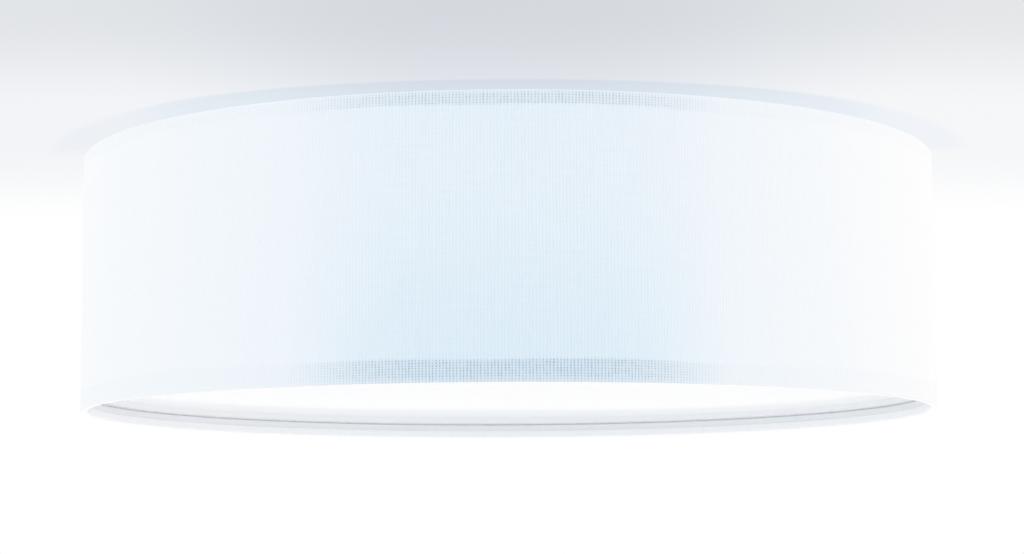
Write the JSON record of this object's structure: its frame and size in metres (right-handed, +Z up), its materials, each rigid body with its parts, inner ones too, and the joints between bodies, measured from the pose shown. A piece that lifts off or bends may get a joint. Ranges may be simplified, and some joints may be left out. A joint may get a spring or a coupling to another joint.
{
  "type": "flush mount ceiling light",
  "caption": "Round drum ceiling light with a woven cloth shade, an opal disc resting inside its rim, and screw-in lamps on a steel ceiling pan.",
  "frame": {"origin": "centre of the light on the ceiling plane, midway between the two screw slots", "axes": "+Z up, into the ceiling, along the drum's axis; the two lamps and the screw slots lie along X"},
  "size_m": [0.3999, 0.4, 0.12],
  "materials": {
    "woven_cloth": "woven white cotton and linen mix, matt",
    "shade_film": "translucent white film, satin",
    "white_steel": "white powder coat, satin",
    "opal_acrylic": "opal white acrylic, gloss",
    "plated_steel": "zinc plated",
    "black_rubber": "matt black rubber",
    "white_nylon": "moulded natural nylon",
    "brass": "bright brass",
    "holder_plastic": "moulded white heat-resistant plastic",
    "porcelain": "glazed white porcelain",
    "lamp_nickel": "pressed bright metal",
    "black_glass": "black insulating glass, gloss",
    "lamp_plastic": "moulded white plastic, satin",
    "lamp_opal": "opal dome, satin gloss",
    "board_white": "white coated board",
    "brown_insulation": "brown wire insulation",
    "blue_insulation": "blue wire insulation",
    "green_yellow_insulation": "green and yellow wire insulation"
  },
  "bodies": {
    "root": {"fabric_cover": "woven_cloth", "shade_liner": "shade_film", "top_ring": "white_steel", "bottom_ring": "white_steel", "spider_arms": "white_steel", "spider_hub": "white_steel", "ceiling_pan": "white_steel", "holder_bracket": "plated_steel", "bracket_rivets": "plated_steel", "shade_studs": "plated_steel", "cable_grommet": "black_rubber", "terminal_block": "white_nylon", "terminal_sleeves": "brass", "terminal_screws": "plated_steel", "block_screws": "plated_steel", "earth_screw": "plated_steel", "earth_tag": "brass", "earth_wire": "green_yellow_insulation", "live_wires": "brown_insulation", "neutral_wires": "blue_insulation", "holder_nipples": "plated_steel", "holder_nuts": "plated_steel", "holder_cap_a": "holder_plastic", "holder_shell_a": "holder_plastic", "holder_core_a": "porcelain", "screw_sleeve_a": "brass", "centre_contact_a": "brass", "holder_cap_b": "holder_plastic", "holder_shell_b": "holder_plastic", "holder_core_b": "porcelain", "screw_sleeve_b": "brass", "centre_contact_b": "brass"},
    "diffuser": {"diffuser": "opal_acrylic"},
    "lamp_tip_a": {"bulb_button_a": "lamp_nickel", "bulb_insulator_a": "black_glass"},
    "lamp_a": {"bulb_cap_a": "lamp_nickel", "bulb_collar_a": "lamp_plastic", "bulb_board_a": "board_white", "bulb_globe_a": "lamp_opal"},
    "lamp_tip_b": {"bulb_button_b": "lamp_nickel", "bulb_insulator_b": "black_glass"},
    "lamp_b": {"bulb_cap_b": "lamp_nickel", "bulb_collar_b": "lamp_plastic", "bulb_board_b": "board_white", "bulb_globe_b": "lamp_opal"},
    "washer_1": {"nut_washer_1": "plated_steel"},
    "nut_1": {"thumb_nut_1": "plated_steel"},
    "washer_2": {"nut_washer_2": "plated_steel"},
    "nut_2": {"thumb_nut_2": "plated_steel"},
    "washer_3": {"nut_washer_3": "plated_steel"},
    "nut_3": {"thumb_nut_3": "plated_steel"}
  },
  "joints": [
    {"name": "diffuser_lift", "type": "slide", "parent": "root", "child": "diffuser", "axis": [0, 0, 1], "range_m": [0, 0.02]},
    {"name": "lamp_a_advance", "type": "slide", "parent": "root", "child": "lamp_tip_a", "axis": [1, 0, 0], "range_m": [0, 0.01099]},
    {"name": "lamp_a_turn", "type": "hinge", "parent": "lamp_tip_a", "child": "lamp_a", "pos_m": [0.039, 0, -0.052], "axis": [1, 0, 0], "range_deg": [0, 1080]},
    {"name": "lamp_b_advance", "type": "slide", "parent": "root", "child": "lamp_tip_b", "axis": [-1, 0, 0], "range_m": [0, 0.01099]},
    {"name": "lamp_b_turn", "type": "hinge", "parent": "lamp_tip_b", "child": "lamp_b", "pos_m": [-0.039, 0, -0.052], "axis": [-1, 0, 0], "range_deg": [0, 1080]},
    {"name": "nut_1_advance", "type": "slide", "parent": "root", "child": "washer_1", "axis": [0, 0, -1], "range_m": [0, 0.0064]},
    {"name": "nut_1_turn", "type": "hinge", "parent": "washer_1", "child": "nut_1", "pos_m": [0.08011, 0.04625, -0.0032], "axis": [0, 0, -1], "range_deg": [0, 3240]},
    {"name": "nut_2_advance", "type": "slide", "parent": "root", "child": "washer_2", "axis": [0, 0, -1], "range_m": [0, 0.0064]},
    {"name": "nut_2_turn", "type": "hinge", "parent": "washer_2", "child": "nut_2", "pos_m": [-0.08011, 0.04625, -0.0032], "axis": [0, 0, -1], "range_deg": [0, 3240]},
    {"name": "nut_3_advance", "type": "slide", "parent": "root", "child": "washer_3", "axis": [0, 0, -1], "range_m": [0, 0.0064]},
    {"name": "nut_3_turn", "type": "hinge", "parent": "washer_3", "child": "nut_3", "pos_m": [0, -0.0925, -0.0032], "axis": [0, 0, -1], "range_deg": [0, 3240]}
  ],
  "couplings": [
    {"joint": "lamp_a_advance", "follows": "lamp_a_turn", "m_per_rad": 0.00057757},
    {"joint": "lamp_b_advance", "follows": "lamp_b_turn", "m_per_rad": 0.00057757},
    {"joint": "nut_1_advance", "follows": "nut_1_turn", "m_per_rad": 0.00011141},
    {"joint": "nut_2_advance", "follows": "nut_2_turn", "m_per_rad": 0.00011141},
    {"joint": "nut_3_advance", "follows": "nut_3_turn", "m_per_rad": 0.00011141}
  ]
}
